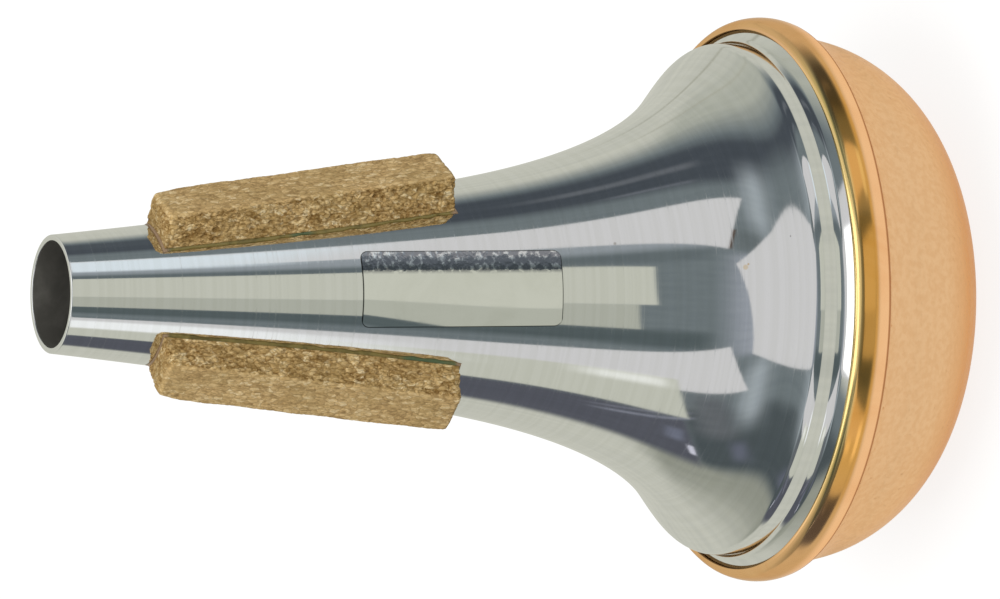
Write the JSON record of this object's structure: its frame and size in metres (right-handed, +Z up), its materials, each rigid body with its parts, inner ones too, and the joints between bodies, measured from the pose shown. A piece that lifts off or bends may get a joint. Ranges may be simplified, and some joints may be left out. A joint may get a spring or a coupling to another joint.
{
  "type": "trumpet straight mute",
  "caption": "Straight mute for a trumpet: a flared metal cone with a domed copper end and cork strips, wedged in the bell to soften and thin the tone.",
  "frame": {"origin": "centre of the end cap's flat base", "axes": "+Z up the axis, from the end cap towards the open neck; -Y towards the foil label, between the two front cork strips"},
  "size_m": [0.1, 0.1, 0.1636],
  "materials": {
    "spun_aluminium": "polished, with fine spinning lines round the axis",
    "spun_copper": "satin on the dome, polished on the hem",
    "cork": "cut and sanded agglomerated cork",
    "cork_glue": "dried glue, olive and green",
    "foil": "glossy silver foil",
    "sealant": "matt"
  },
  "bodies": {
    "root": {"body_shell": "spun_aluminium", "end_cap": "spun_copper", "rim_sealant": "sealant", "cork_left": "cork", "cork_right": "cork", "cork_rear": "cork", "glue_left": "cork_glue", "glue_right": "cork_glue", "glue_rear": "cork_glue", "label": "foil"}
  },
  "joints": []
}
